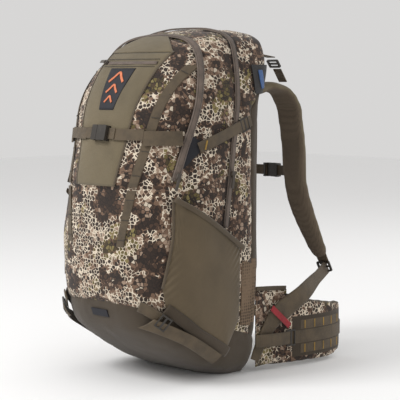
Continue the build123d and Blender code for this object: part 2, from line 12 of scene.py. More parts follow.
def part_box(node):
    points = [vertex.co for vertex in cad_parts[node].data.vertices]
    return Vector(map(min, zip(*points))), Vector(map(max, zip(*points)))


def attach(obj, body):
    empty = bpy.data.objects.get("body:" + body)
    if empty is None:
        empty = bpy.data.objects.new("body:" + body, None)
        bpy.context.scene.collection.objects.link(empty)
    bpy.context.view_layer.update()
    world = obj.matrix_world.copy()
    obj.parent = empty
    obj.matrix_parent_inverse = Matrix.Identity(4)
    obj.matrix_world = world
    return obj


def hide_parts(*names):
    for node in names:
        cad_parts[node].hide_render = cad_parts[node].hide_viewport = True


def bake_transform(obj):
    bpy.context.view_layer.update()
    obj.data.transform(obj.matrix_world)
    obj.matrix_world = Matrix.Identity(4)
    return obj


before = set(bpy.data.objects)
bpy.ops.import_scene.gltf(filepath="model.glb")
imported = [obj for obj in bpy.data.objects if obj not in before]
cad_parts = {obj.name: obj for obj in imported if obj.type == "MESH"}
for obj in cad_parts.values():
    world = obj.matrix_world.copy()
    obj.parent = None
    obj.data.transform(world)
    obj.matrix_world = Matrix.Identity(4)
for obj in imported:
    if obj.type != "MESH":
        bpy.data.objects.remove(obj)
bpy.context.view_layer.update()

# ------------------------------------------------------------------ camera, floor and light
# A studio product shot: a long lens a little above the pack's middle, seen from its front right corner.
AZIMUTH, ELEVATION, DISTANCE = math.radians(45), math.radians(5), 2.6
AIM = Vector((0.0, -0.12, 0.33))
SHIFT_RIGHT, SHIFT_DOWN = 0.074, 0.002
LENS, SENSOR_WIDTH = 123, 36
camera_back = Vector(
    (math.sin(AZIMUTH) * math.cos(ELEVATION), -math.cos(AZIMUTH) * math.cos(ELEVATION), math.sin(ELEVATION))
)
camera_right = Vector((math.cos(AZIMUTH), math.sin(AZIMUTH), 0))
camera_data = bpy.data.cameras.new("studio_camera")
camera_data.lens, camera_data.sensor_width = LENS, SENSOR_WIDTH
camera = bpy.data.objects.new("studio_camera", camera_data)
camera.rotation_mode = "QUATERNION"
camera.location = AIM + camera_back * DISTANCE + camera_right * SHIFT_RIGHT - Vector((0, 0, SHIFT_DOWN))
camera.rotation_quaternion = (-camera_back).to_track_quat("-Z", "Y")
bpy.context.collection.objects.link(camera)
bpy.context.scene.camera = camera
bpy.context.scene.view_settings.view_transform = "Standard"

world = bpy.data.worlds.new("studio")
bpy.context.scene.world = world
world.use_nodes = True
background = world.node_tree.nodes["Background"]
background.inputs["Color"].default_value = (1.0, 0.99, 0.98, 1)
background.inputs["Strength"].default_value = 0.68
for name, place, size, power in (
    ("key_light", (-0.7, -2.2, 2.2), 1.2, 52),
    ("fill_light", (2.6, -0.6, 1.4), 1.8, 6),
    ("back_light", (0.6, 2.4, 1.8), 1.6, 14),
):
    lamp = bpy.data.lights.new(name, "AREA")
    lamp.size, lamp.energy = size, power
    lamp_object = bpy.data.objects.new(name, lamp)
    lamp_object.location = place
    lamp_object.rotation_mode = "QUATERNION"
    lamp_object.rotation_quaternion = (AIM - Vector(place)).to_track_quat("-Z", "Y")
    bpy.context.collection.objects.link(lamp_object)


def srgb(red, green, blue):
    """An 8-bit display colour as a shader colour."""
    parts = [c / 255 for c in (red, green, blue)]
    return tuple(c / 12.92 if c <= 0.04045 else ((c + 0.055) / 1.055) ** 2.4 for c in parts) + (1.0,)


def plain_material(name, colour, roughness):
    """A material with one shader, and its node tree and shader."""
    made = bpy.data.materials.new(name)
    made.use_nodes = True
    shader = made.node_tree.nodes["Principled BSDF"]
    shader.inputs["Base Color"].default_value = colour
    shader.inputs["Roughness"].default_value = roughness
    return made, made.node_tree, shader


def mesh_from(shape, name):
    """A mesh that takes over a finished shape."""
    mesh = bpy.data.meshes.new(name)
    shape.to_mesh(mesh)
    shape.free()
    return mesh


def link_object(name, mesh, *materials, smooth=True):
    """Links a finished mesh as an object at the origin, with its materials."""
    made = bpy.data.objects.new(name, mesh)
    for material in materials:
        mesh.materials.append(material)
    if smooth:
        mesh.shade_smooth()
    bpy.context.collection.objects.link(made)
    return made


floor_shape = bmesh.new()
bmesh.ops.create_grid(floor_shape, x_segments=1, y_segments=1, size=6)
bmesh.ops.translate(floor_shape, verts=floor_shape.verts, vec=(0, 0, -0.001))
floor_material, _, _ = plain_material("pale_floor", (0.94, 0.94, 0.94, 1), 0.9)
link_object("floor", mesh_from(floor_shape, "floor"), floor_material)


# ------------------------------------------------------------------ fabrics
# The shell is brushed polyester: printed on the front, the flanks and the hood, plain brown on the boot, the back
# and the pockets. The boot's brown is darker than its dye, as painted shade for a panel that faces down.
# Webbing is nylon; the back and the straps are faced with spacer mesh.
def add(tree, kind, **sockets):
    """A node of a kind, with values or links on its named inputs."""
    node = tree.nodes.new(kind)
    for name, value in sockets.items():
        put(tree, node.inputs[name.replace("_", " ")], value)
    return node


def put(tree, socket, value):
    if isinstance(value, bpy.types.NodeSocket):
        tree.links.new(value, socket)
    else:
        socket.default_value = value


def maths(tree, operation, first, second=0.0):
    node = tree.nodes.new("ShaderNodeMath")
    node.operation = operation
    put(tree, node.inputs[0], first)
    put(tree, node.inputs[1], second)
    return node.outputs[0]


def mix_colour(tree, factor, low, high):
    node = tree.nodes.new("ShaderNodeMix")
    node.data_type = "RGBA"
    put(tree, node.inputs[0], factor)
    put(tree, node.inputs[6], low)
    put(tree, node.inputs[7], high)
    return node.outputs[2]


def steps(tree, factor, *stops, interpolation="CONSTANT"):
    """A colour ramp from (place, colour) stops."""
    node = tree.nodes.new("ShaderNodeValToRGB")
    node.color_ramp.interpolation = interpolation
    while len(node.color_ramp.elements) < len(stops):
        node.color_ramp.elements.new(0.5)
    for element, (place, colour) in zip(node.color_ramp.elements, stops):
        element.position, element.color = place, colour
    put(tree, node.inputs[0], factor)
    return node.outputs[0]


def noise_field(tree, where, scale, detail=3.0, roughness=0.6):
    node = add(tree, "ShaderNodeTexNoise", Vector=where, Scale=scale, Detail=detail, Roughness=roughness)
    return node.outputs["Fac"]


def raise_surface(tree, shader, height, strength, distance=0.001):
    bump = add(tree, "ShaderNodeBump", Height=height, Strength=strength, Distance=distance)
    put(tree, shader.inputs["Normal"], bump.outputs[0])


def weave_height(tree, where, scale):
    """Over-and-under threads, as the height of three crossed waves."""
    total = None
    for axis in ("X", "Y", "Z"):
        wave = add(tree, "ShaderNodeTexWave", Vector=where, Scale=scale, Distortion=0.6)
        wave.bands_direction = axis
        total = wave.outputs["Fac"] if total is None else maths(tree, "ADD", total, wave.outputs["Fac"])
    return total


def plain_cloth(name, colour, shade=0.75, weave=260.0, roughness=0.9, bump=0.25):
    """Woven cloth of one dye: uneven tone in soft patches, rubbed lighter in places, fine threads."""
    made, tree, shader = plain_material(name, colour, roughness)
    where = tree.nodes.new("ShaderNodeTexCoord").outputs["Object"]
    patches = noise_field(tree, where, 9.0, 4.0)
    grain = noise_field(tree, where, 420.0, 2.0)
    dark = tuple(c * shade for c in colour[:3]) + (1.0,)
    light = tuple(min(c * 1.18, 1.0) for c in colour[:3]) + (1.0,)
    tone = steps(tree, patches, (0.32, dark), (0.52, colour), (0.74, light), interpolation="LINEAR")
    tone = mix_colour(tree, maths(tree, "MULTIPLY", grain, 0.35), tone, dark)
    put(tree, shader.inputs["Base Color"], tone)
    shader.inputs["Sheen Weight"].default_value = 0.15
    shader.inputs["Sheen Roughness"].default_value = 0.5
    height = maths(tree, "ADD", weave_height(tree, where, weave), maths(tree, "MULTIPLY", patches, 4.0))
    raise_surface(tree, shader, height, bump)
    return made


def printed_cloth(name, cell=0.0068):
    """The field print: small cells in earth colours and moss under a net that runs from near black to cream."""
    made, tree, shader = plain_material(name, srgb(150, 130, 112), 0.92)
    where = tree.nodes.new("ShaderNodeTexCoord").outputs["Object"]
    cells = add(tree, "ShaderNodeTexVoronoi", Vector=where, Scale=1 / cell, Randomness=0.85)
    edges = add(tree, "ShaderNodeTexVoronoi", Vector=where, Scale=1 / cell, Randomness=0.85)
    edges.feature = "DISTANCE_TO_EDGE"
    middle = cells.outputs["Position"]
    odd = add(tree, "ShaderNodeSeparateColor", Color=cells.outputs["Color"]).outputs[0]
    random_part = maths(tree, "MULTIPLY", maths(tree, "SUBTRACT", odd, 0.5), 0.16)
    ground = maths(tree, "ADD", noise_field(tree, middle, 26.0, 4.0, 0.7), random_part)
    cream, pale, tan = srgb(226, 212, 190), srgb(176, 152, 131), srgb(124, 98, 79)
    bark, night = srgb(68, 50, 38), srgb(24, 18, 15)
    earth = ((0.0, night), (0.48, bark), (0.53, tan), (0.585, pale), (0.65, cream), (0.76, pale))
    fill = steps(tree, ground, *earth)
    moss_field = noise_field(tree, middle, 12.0, 3.0, 0.6)
    moss = steps(tree, odd, (0.0, srgb(62, 56, 26)), (0.4, srgb(108, 98, 50)), (0.75, srgb(146, 134, 82)))
    fill = mix_colour(tree, maths(tree, "GREATER_THAN", moss_field, 0.585), fill, moss)
    smudge = noise_field(tree, where, 150.0, 3.0, 0.7)
    fill = mix_colour(tree, maths(tree, "MULTIPLY", smudge, 0.55), fill, bark)
    tangle = noise_field(tree, where, 22.0, 3.0, 0.65)
    net = steps(tree, tangle, (0.0, night), (0.45, bark), (0.48, tan), (0.515, cream), (0.64, pale))
    thickness = noise_field(tree, where, 55.0, 2.0, 0.6)
    width = maths(tree, "ADD", -0.03, maths(tree, "MULTIPLY", thickness, 0.22))
    on_net = maths(tree, "LESS_THAN", edges.outputs["Distance"], width)
    tone = mix_colour(tree, on_net, fill, net)
    shade = noise_field(tree, where, 6.0, 3.0)
    tone = mix_colour(tree, maths(tree, "MULTIPLY", shade, 0.3), tone, srgb(64, 48, 38))
    put(tree, shader.inputs["Base Color"], tone)
    shader.inputs["Sheen Weight"].default_value = 0.1
    shader.inputs["Sheen Roughness"].default_value = 0.5
    nap = maths(tree, "ADD", noise_field(tree, where, 700.0, 2.0), maths(tree, "MULTIPLY", shade, 4.0))
    raise_surface(tree, shader, nap, 0.3)
    return made


def webbing_cloth(name, colour, rib=0.0016):
    """Nylon webbing: close ribs, a slight sheen and patches of wear."""
    made, tree, shader = plain_material(name, colour, 0.7)
    where = tree.nodes.new("ShaderNodeTexCoord").outputs["Object"]
    ribs = weave_height(tree, where, 0.5 / rib)
    worn = noise_field(tree, where, 45.0, 3.0)
    dark = tuple(c * 0.62 for c in colour[:3]) + (1.0,)
    light = tuple(min(c * 1.22, 1.0) for c in colour[:3]) + (1.0,)
    tone = steps(tree, worn, (0.3, dark), (0.55, colour), (0.75, light), interpolation="LINEAR")
    tone = mix_colour(tree, maths(tree, "MULTIPLY", ribs, 0.12), tone, dark)
    put(tree, shader.inputs["Base Color"], tone)
    shader.inputs["Sheen Weight"].default_value = 0.1
    raise_surface(tree, shader, ribs, 0.35)
    return made


def spacer_mesh(name, colour, hole=0.0034, openness=0.62):
    """Knitted spacer mesh: small holes in rows, painted dark as the shade inside them, the yarn lighter between them.
    """
    made, tree, shader = plain_material(name, colour, 0.95)
    where = tree.nodes.new("ShaderNodeTexCoord").outputs["Object"]
    holes = add(tree, "ShaderNodeTexVoronoi", Vector=where, Scale=1 / hole, Randomness=0.18)
    distance = holes.outputs["Distance"]
    # Painted shade: the holes get a dark colour for the shade inside them, and soft patches darken towards the same
    # colour.
    hole_shade_and_patch_tone = tuple(c * 0.28 for c in colour[:3]) + (1.0,)
    tone = steps(tree, distance, (0.18, hole_shade_and_patch_tone), (openness * 0.6, colour), interpolation="LINEAR")
    patches = noise_field(tree, where, 14.0, 3.0)
    tone = mix_colour(tree, maths(tree, "MULTIPLY", patches, 0.4), tone, hole_shade_and_patch_tone)
    put(tree, shader.inputs["Base Color"], tone)
    raise_surface(tree, shader, distance, 0.5, 0.002)
    return made


def moulded_plastic(name, colour, roughness=0.42):
    """Acetal with a fine spark-eroded grain and scattered patches rubbed a little paler."""
    made, tree, shader = plain_material(name, colour, roughness)
    where = tree.nodes.new("ShaderNodeTexCoord").outputs["Object"]
    grain = noise_field(tree, where, 900.0, 2.0)
    scuffs = noise_field(tree, where, 60.0, 5.0, 0.7)
    pale = tuple(min(c * 1.7 + 0.01, 1.0) for c in colour[:3]) + (1.0,)
    tone = steps(tree, scuffs, (0.55, colour), (0.8, pale), interpolation="LINEAR")
    put(tree, shader.inputs["Base Color"], tone)
    wear = maths(tree, "MULTIPLY", scuffs, 0.2)
    put(tree, shader.inputs["Roughness"], maths(tree, "ADD", roughness - 0.08, wear))
    raise_surface(tree, shader, grain, 0.12)
    return made


print_cloth = printed_cloth("printed_shell_cloth")
brown_cloth = plain_cloth("brown_shell_cloth", srgb(104, 93, 71))
# Painted shade: the boot cloth is a darker brown than the cloth's own dye because the boot faces down; the back, the
# pads' sides and other dark parts share this colour.
painted_shade_boot_cloth = plain_cloth("brown_boot_painted_shade_cloth", srgb(64, 53, 39))
pocket_cloth = plain_cloth("stretch_pocket_cloth", srgb(90, 77, 57), weave=420.0, bump=0.15)
trim_cloth = plain_cloth("binding_tape", srgb(84, 72, 56), weave=500.0)
gusset_cloth = plain_cloth("dark_gusset_cloth", srgb(30, 30, 36), weave=400.0)
zip_cloth = webbing_cloth("zip_tape", srgb(104, 90, 80), rib=0.001)
webbing = webbing_cloth("brown_webbing", srgb(86, 72, 52))
red_webbing = webbing_cloth("red_tab", srgb(150, 20, 32), rib=0.001)
yellow_thread = webbing_cloth("yellow_bar_tack", srgb(168, 132, 48), rib=0.0006)
brown_thread = webbing_cloth("brown_thread", srgb(58, 50, 38), rib=0.0006)
back_mesh = spacer_mesh("back_spacer_mesh", srgb(92, 80, 64))
strap_mesh = spacer_mesh("strap_spacer_mesh", srgb(112, 98, 82), hole=0.0024)
open_mesh = spacer_mesh("open_side_mesh", srgb(120, 100, 80), hole=0.0058, openness=0.95)
slider_plastic = moulded_plastic("zip_slider", srgb(62, 54, 46), 0.35)

# ------------------------------------------------------------------ shell of the pack
# One soft skin of padded cloth, cut into its panels along the zips and seams; each panel swells a little between
# its seams, where the stitching draws it in.
STATIONS = [  # height, front, back, half width, squareness of the front corners
    (0.000, -0.085, -0.006, 0.112, 2.6),
    (0.022, -0.140, -0.003, 0.132, 2.7),
    (0.050, -0.190, -0.002, 0.144, 2.8),
    (0.080, -0.235, -0.002, 0.151, 2.9),
    (0.108, -0.264, -0.002, 0.155, 2.9),
    (0.170, -0.283, -0.002, 0.158, 2.9),
    (0.260, -0.290, -0.002, 0.160, 2.8),
    (0.350, -0.289, -0.002, 0.159, 2.3),
    (0.430, -0.273, -0.002, 0.157, 2.3),
    (0.505, -0.252, 0.005, 0.155, 2.6),
    (0.560, -0.222, 0.028, 0.146, 2.6),
    (0.600, -0.186, 0.040, 0.134, 2.5),
    (0.625, -0.150, 0.038, 0.122, 2.4),
    (0.640, -0.112, 0.028, 0.100, 2.4),
    (0.650, -0.060, 0.005, 0.060, 2.4),
]
BACK_SQUARENESS, WIDEST = 8.0, 0.45
FOLD_Z, DOOR_SIDE_Y, DOOR_SLOPE = 0.362, -0.227, 0.36
MAIN_ZIP_Y, MAIN_ZIP_Z, MAIN_ZIP_SLOPE = -0.100, 0.353, 0.16
BOOT_FRONT_Z, BOOT_FRONT_Y, BOOT_SLOPE = 0.152, -0.280, 0.30
BACK_SEAM_Y, BACK_LEAN_Z, BACK_LEAN, BACK_TOP_Z = -0.034, 0.5, 0.857, 0.556
SIDE_MESH_LOW_Z, SIDE_MESH_HIGH_Z, SIDE_MESH_X = 0.100, 0.222, 0.125
SHELL_WALL = 0.0025
heights = np.array([s[0] for s in STATIONS])


def station(z):
    """Front, back, half width and squareness at a height, by monotone cubic steps."""
    widths = np.diff(heights)
    found = []
    for column in range(1, 5):
        values = np.array([s[column] for s in STATIONS])
        slopes = np.diff(values) / widths
        tangents = np.zeros_like(values)
        tangents[0], tangents[-1] = slopes[0], slopes[-1]
        for i in range(1, len(slopes)):
            low, high = slopes[i - 1], slopes[i]
            if low * high > 0:
                near, far = 2 * widths[i] + widths[i - 1], widths[i] + 2 * widths[i - 1]
                tangents[i] = (near + far) / (near / low + far / high)
        i = int(np.clip(np.searchsorted(heights, z) - 1, 0, len(widths) - 1))
        t = (z - heights[i]) / widths[i]
        found.append(
            (2 * t**3 - 3 * t**2 + 1) * values[i]
            + (t**3 - 2 * t**2 + t) * widths[i] * tangents[i]
            + (3 * t**2 - 2 * t**3) * values[i + 1]
            + (t**3 - t**2) * widths[i] * tangents[i + 1]
        )
    return found


def half_outline(z, count):
    """Evenly spaced points of half a plan section, from the front's middle round +X to the back's middle."""
    front, back, half_width, squareness = station(z)
    widest = back - (back - front) * WIDEST
    angle = np.linspace(0, np.pi, 500)
    depth = np.where(angle < np.pi / 2, widest - front, back - widest)
    power = np.where(angle < np.pi / 2, squareness, BACK_SQUARENESS)
    cosine, sine = np.abs(np.cos(angle)), np.abs(np.sin(angle))
    reach = ((cosine / depth) ** power + (sine / half_width) ** power) ** (-1 / power)
    x, y = reach * sine, widest - reach * np.cos(angle)
    run = np.concatenate([[0], np.cumsum(np.hypot(np.diff(x), np.diff(y)))])
    even = np.linspace(0, run[-1], count)
    return np.interp(even, run, x), np.interp(even, run, y)


AROUND, RISES = 220, 150
fine = np.linspace(0, heights[-1], 1200)
fronts = np.array([station(z)[0] for z in fine])
climb = np.concatenate([[0], np.cumsum(np.hypot(np.diff(fine), np.diff(fronts)))])
levels = [(0.0, s) for s in (0.0, 0.3, 0.6, 0.85)]
levels += [(z, 1.0) for z in np.interp(np.linspace(0, climb[-1], RISES), climb, fine)]
levels += [(heights[-1], s) for s in (0.85, 0.6, 0.3, 0.0)]
rows = []
for z, share in levels:
    xs, ys = half_outline(z, AROUND // 2 + 1)
    crown = 0.002 * (1 - share**2) if z > 0 else 0.0
    centre = (ys[0] + ys[-1]) / 2
    ring = [(x * share, centre + (y - centre) * share, z + crown) for x, y in zip(xs, ys)]
    rows.append(ring + [(-x, y, h) for x, y, h in ring[-2::-1]])

skin = bmesh.new()
bmesh.ops.create_grid(skin, x_segments=AROUND, y_segments=len(levels) - 1, size=0.5)
for vert in skin.verts:
    column, row = round((vert.co.x + 0.5) * AROUND), round((vert.co.y + 0.5) * (len(levels) - 1))
    vert.co = rows[row][column]
bmesh.ops.remove_doubles(skin, verts=skin.verts, dist=1e-6)
bmesh.ops.recalc_face_normals(skin, faces=skin.faces)
form = BVHTree.FromBMesh(skin)


def door_plane(z):
    return DOOR_SIDE_Y + (z - FOLD_Z) * DOOR_SLOPE


def main_plane(z):
    return MAIN_ZIP_Y + (z - MAIN_ZIP_Z) * MAIN_ZIP_SLOPE


def panel_of(point):
    """The panel that a point of the skin belongs to."""
    x, y, z = point
    if z < BOOT_FRONT_Z - (y - BOOT_FRONT_Y) * BOOT_SLOPE:
        return "bottom_boot"
    if z > FOLD_Z and y < door_plane(z):
        return "front_door"
    if z < FOLD_Z and y < DOOR_SIDE_Y:
        return "lower_front_panel"
    if z < BACK_TOP_Z and y > BACK_SEAM_Y + max(0.0, z - BACK_LEAN_Z) * BACK_LEAN:
        return "back_wall"
    return "rear_band" if y > main_plane(z) else "middle_band"


for place, normal in (
    ((0, DOOR_SIDE_Y, FOLD_Z), (0, 1, -DOOR_SLOPE)),
    ((0, 0, FOLD_Z), (0, 0, 1)),
    ((0, DOOR_SIDE_Y, 0), (0, 1, 0)),
    ((0, MAIN_ZIP_Y, MAIN_ZIP_Z), (0, 1, -MAIN_ZIP_SLOPE)),
    ((0, BOOT_FRONT_Y, BOOT_FRONT_Z), (0, BOOT_SLOPE, 1)),
    ((0, BACK_SEAM_Y, 0), (0, 1, 0)),
    ((0, BACK_SEAM_Y, BACK_LEAN_Z), (0, 1, -BACK_LEAN)),
    ((0, 0, BACK_TOP_Z), (0, 0, 1)),
    ((0, 0, SIDE_MESH_HIGH_Z), (0, 0, 1)),
    ((0, 0, SIDE_MESH_LOW_Z), (0, 0, 1)),
):
    everything = skin.verts[:] + skin.edges[:] + skin.faces[:]
    bmesh.ops.bisect_plane(skin, geom=everything, dist=1e-5, plane_co=place, plane_no=normal)


def soft_swell(shape, depth=0.0035, reach=0.011, ripple=0.0016, pucker=0.0016, pucker_reach=0.014, rise=0.0008):
    """Draws a panel in at its open edges and gives the cloth between them slow folds."""
    rim = [v for v in shape.verts if v.is_boundary]
    tree = KDTree(len(rim) or 1)
    for i, vert in enumerate(rim):
        tree.insert(vert.co, i)
    tree.balance()
    shape.normal_update()
    moves = {}
    for vert in shape.verts:
        near = tree.find(vert.co)[2] if rim else 1.0
        upright = Vector((vert.co.x * 45, vert.co.y * 45, vert.co.z * 16))
        slow = noise.noise(vert.co * 14) + 0.6 * noise.noise(upright)
        seam = noise.noise(vert.co * 95) * math.exp(-near / pucker_reach) * pucker
        inside = 1 - math.exp(-near / reach)
        moves[vert] = vert.normal * (rise - depth * math.exp(-near / reach) + ripple * slow * inside + seam)
    for vert, move in moves.items():
        vert.co += move
        vert.co.z = max(vert.co.z, 0.0)


def add_wall(made, thickness, outward=False):
    """Gives a sheet its thickness, on its inner side or its outer one."""
    wall = made.modifiers.new("wall", "SOLIDIFY")
    wall.thickness, wall.offset = thickness, 1 if outward else -1


PANEL_CLOTHS = {
    "bottom_boot": painted_shade_boot_cloth,
    "front_door": print_cloth,
    "lower_front_panel": print_cloth,
    "middle_band": print_cloth,
    "rear_band": print_cloth,
    "back_wall": painted_shade_boot_cloth,
}
for name, cloth in PANEL_CLOTHS.items():
    panel = skin.copy()
    away = [f for f in panel.faces if panel_of(f.calc_center_median()) != name]
    bmesh.ops.delete(panel, geom=away, context="FACES")
    soft_swell(panel)
    panel_mesh = mesh_from(panel, f"{name}_cloth")
    panel_object = link_object(f"{name}_cloth", panel_mesh, cloth)
    if name == "back_wall":
        panel_mesh.materials.append(open_mesh)
        for polygon in panel_mesh.polygons:
            centre = polygon.center
            at_mesh = SIDE_MESH_LOW_Z < centre.z < SIDE_MESH_HIGH_Z and abs(centre.x) > SIDE_MESH_X
            polygon.material_index = int(at_mesh)
    add_wall(panel_object, SHELL_WALL)
    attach(panel_object, "door" if name == "front_door" else "bag")
    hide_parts(name)


# ------------------------------------------------------------------ zips
# Reverse coil zips under a welt of taupe tape: one round the front door and one round the main compartment, each
# a tape draped on the skin with a raised welt along its middle.
def drape(point, lift):
    """The nearest place on the skin, raised from it, and the skin's outward direction there."""
    place, normal, _, _ = form.find_nearest(point)
    return place + normal * lift, normal


def smooth_path(points, spacing=0.006):
    """Close points along a smooth line through the given ones."""
    points = [Vector(p) for p in points]
    found = []
    for i in range(len(points) - 1):
        before, start = points[max(i - 1, 0)], points[i]
        end, after = points[i + 1], points[min(i + 2, len(points) - 1)]
        count = max(1, round((end - start).length / spacing))
        for k in range(count):
            t = k / count
            found.append(
                0.5 * (2 * start + (end - before) * t + (2 * before - 5 * start + 4 * end - after) * t**2
                       + (3 * start - before - 3 * end + after) * t**3)
            )
    return found + [points[-1]]


def laid_strip(name, path, width, lift, cloth, body, thickness=0.0012, welt=0.0, spacing=0.006):
    """A strip of tape or webbing laid on the skin along a path; welt raises its middle."""
    centre = [drape(p, 0.0) for p in smooth_path(path, spacing)]
    strip = bmesh.new()
    bmesh.ops.create_grid(strip, x_segments=len(centre) - 1, y_segments=6, size=0.5)
    for vert in strip.verts:
        i, across = round((vert.co.x + 0.5) * (len(centre) - 1)), vert.co.y
        place, normal = centre[i]
        along = centre[min(i + 1, len(centre) - 1)][0] - centre[max(i - 1, 0)][0]
        sideways = along.cross(normal).normalized()
        vert.co = drape(place + sideways * across * width, lift + welt * (1 - (2 * across) ** 2))[0]
    bmesh.ops.recalc_face_normals(strip, faces=strip.faces)
    middle = strip.faces[len(strip.faces) // 2]
    if middle.normal.dot(drape(middle.calc_center_median(), 0.0)[1]) < 0:
        bmesh.ops.reverse_faces(strip, faces=strip.faces)
    made = link_object(name, mesh_from(strip, name), cloth)
    add_wall(made, thickness, outward=True)
    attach(made, body)
    return made


def plane_ring(plane, middle_z, slope, low, high, count):
    """Places where a leaning plane meets the skin, from angle low to high about the plane's middle."""
    middle = Vector((0, plane(middle_z), middle_z))
    up = Vector((0, slope, 1)).normalized()
    found = []
    for angle in np.radians(np.linspace(low, high, count)):
        direction = Vector((1, 0, 0)) * math.sin(angle) + up * math.cos(angle)
        found.append(form.ray_cast(middle, direction)[0])
    return found


DOOR_ZIP_BEHIND = 0.0045
STITCH_WIDTH = 0.0009
door_ring = plane_ring(lambda z: door_plane(z) + DOOR_ZIP_BEHIND, 0.46, DOOR_SLOPE, -123, 123, 90)
door_zip = laid_strip("door_zip_tape", door_ring, 0.013, 0.0012, zip_cloth, "bag", welt=0.0022)
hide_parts("door_zip")
main_ring = plane_ring(main_plane, 0.45, MAIN_ZIP_SLOPE, -136, 136, 90)
main_zip = laid_strip("main_zip_tape", main_ring, 0.012, 0.0012, zip_cloth, "bag", welt=0.002)
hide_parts("main_zip")
for name, ring, offset in (("door", door_ring, 0.0046), ("main", main_ring, 0.0042)):
    for side, push in (("front", -offset), ("rear", offset)):
        shifted = [p + Vector((0, push, 0)) for p in ring]
        laid_strip(f"{name}_zip_stitch_{side}", shifted, STITCH_WIDTH, 0.0034, brown_thread, "bag", 0.0005,
                   spacing=0.01)


# ------------------------------------------------------------------ plain front pocket
# A flat pocket of plain brown cloth down the middle of the door, with a zip across it and a sewn edge.
PANEL_TOP_X, PANEL_FOOT_X, PANEL_TOP_Z, PANEL_FOOT_Z = 0.082, 0.052, 0.606, 0.365
DAISY_FOOT_X, DAISY_FOOT_Z, DAISY_SPREAD = 0.0686, 0.258, 0.165


def on_front(x, z, lift=0.0):
    """The place on the skin's front at x and z, raised by lift."""
    hit = form.ray_cast(Vector((x, -0.5, z)), Vector((0, 1, 0)))
    return hit[0] + hit[1] * lift


def front_sheet(name, half_width, low, high, lift, cloth, count=(24, 40), swell=0.0, thickness=0.001):
    """A sheet on the door as wide as twice half_width(z) at each height."""
    sheet = bmesh.new()
    bmesh.ops.create_grid(sheet, x_segments=count[0], y_segments=count[1], size=0.5)
    for vert in sheet.verts:
        u, v = vert.co.x + 0.5, vert.co.y + 0.5
        z = low + (high - low) * v
        edge = min(u, 1 - u, v, 1 - v)
        folds = 0.001 * noise.noise(Vector((u * 5, v * 9, 3.0)))
        rise = lift + swell * (1 - math.exp(-edge / 0.05)) + folds * min(1, edge * 10)
        vert.co = on_front(half_width(z) * (2 * u - 1), z, rise)
    bmesh.ops.recalc_face_normals(sheet, faces=sheet.faces)
    if sum(f.normal.y for f in sheet.faces) > 0:
        bmesh.ops.reverse_faces(sheet, faces=sheet.faces)
    made = link_object(name, mesh_from(sheet, name), cloth)
    add_wall(made, thickness)
    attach(made, "door")
    return made


def panel_x(z):
    return PANEL_FOOT_X + (PANEL_TOP_X - PANEL_FOOT_X) * (z - PANEL_FOOT_Z) / (PANEL_TOP_Z - PANEL_FOOT_Z)


pocket = front_sheet("front_pocket_cloth", panel_x, PANEL_FOOT_Z, PANEL_TOP_Z, 0.0016, brown_cloth, swell=0.002)
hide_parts("front_pocket")
HEAD_FOOT_Z, HEAD_TOP_Z, HEAD_PEAK_Z = PANEL_TOP_Z - 0.002, 0.6355, 0.6385


def head_x(z):
    return PANEL_TOP_X * math.sqrt((HEAD_PEAK_Z - z) / (HEAD_PEAK_Z - HEAD_FOOT_Z))


front_sheet("door_head_facing", head_x, HEAD_FOOT_Z, HEAD_TOP_Z, 0.0032, brown_cloth, count=(24, 12))
for side in (-1, 1):
    edge = [on_front(side * (panel_x(z) - 0.0015), z) for z in np.linspace(PANEL_FOOT_Z, PANEL_TOP_Z, 14)]
    laid_strip(f"front_pocket_edge_{'right' if side > 0 else 'left'}", edge, 0.003, 0.002, trim_cloth, "door")
ZIP_Z = 0.584
ZIP_XS = np.linspace(-0.066, 0.070, 12)
zip_line = [on_front(x, ZIP_Z) for x in ZIP_XS]
pocket_zip = laid_strip("pocket_zip_tape", zip_line, 0.007, 0.0034, zip_cloth, "door", 0.0008, welt=0.0005)
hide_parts("pocket_zip")
for shift in (-0.0065, 0.0065):
    row = [on_front(x, ZIP_Z + shift) for x in ZIP_XS]
    laid_strip(f"pocket_zip_stitch_{'upper' if shift > 0 else 'lower'}", row, STITCH_WIDTH, 0.0042, brown_thread,
               "door", 0.0004)

# ------------------------------------------------------------------ emblem patch
# A dark rubberised patch, wider at its head, that carries three raised chevrons.
EMBLEM_TOP_X, EMBLEM_FOOT_X, EMBLEM_TOP_Z, EMBLEM_FOOT_Z = 0.033, 0.019, 0.574, 0.500
patch_cloth = moulded_plastic("dark_patch", srgb(27, 27, 34), 0.7)
orange_rubber = moulded_plastic("orange_mark", srgb(196, 110, 72), 0.6)


def emblem_x(z):
    return EMBLEM_FOOT_X + (EMBLEM_TOP_X - EMBLEM_FOOT_X) * (z - EMBLEM_FOOT_Z) / (EMBLEM_TOP_Z - EMBLEM_FOOT_Z)


patch = front_sheet("emblem_patch_face", emblem_x, EMBLEM_FOOT_Z, EMBLEM_TOP_Z, 0.0046, patch_cloth, count=(12, 14))
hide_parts("emblem_patch")
CHEVRONS = ((0.019, 0.549, 0.566), (0.0145, 0.530, 0.544), (0.010, 0.513, 0.524))  # half width, foot, peak
for i, (half, foot, peak) in enumerate(CHEVRONS):
    chevron = [on_front(-half, foot), on_front(-half / 2, (foot + peak) / 2), on_front(0, peak)]
    chevron += [on_front(half / 2, (foot + peak) / 2), on_front(half, foot)]
    laid_strip(f"emblem_chevron_{i + 1}", chevron, 0.005 - 0.0006 * i, 0.0052, orange_rubber, "door", 0.0006,
               spacing=0.003)

# ------------------------------------------------------------------ webbing laid on the body
# The upright webbings, the strap across the door, the compression and lash straps keep their true sizes; bar tacks
# hold the uprights every few centimetres.
def dress(node, finish):
    """Gives a node of the frame its finish."""
    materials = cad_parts[node].data.materials
    materials.clear()
    materials.append(finish)


for name in (
    "daisy_webbing_upper", "daisy_webbing_lower", "front_strap", "front_bands", "compression_straps", "lash_straps",
    "belt_rows_right", "belt_rows_left", "belt_webbing_right", "belt_webbing_left", "sternum_webbing",
    "lifter_tails", "handle_tabs", "haul_handle",
):
    dress(name, webbing)


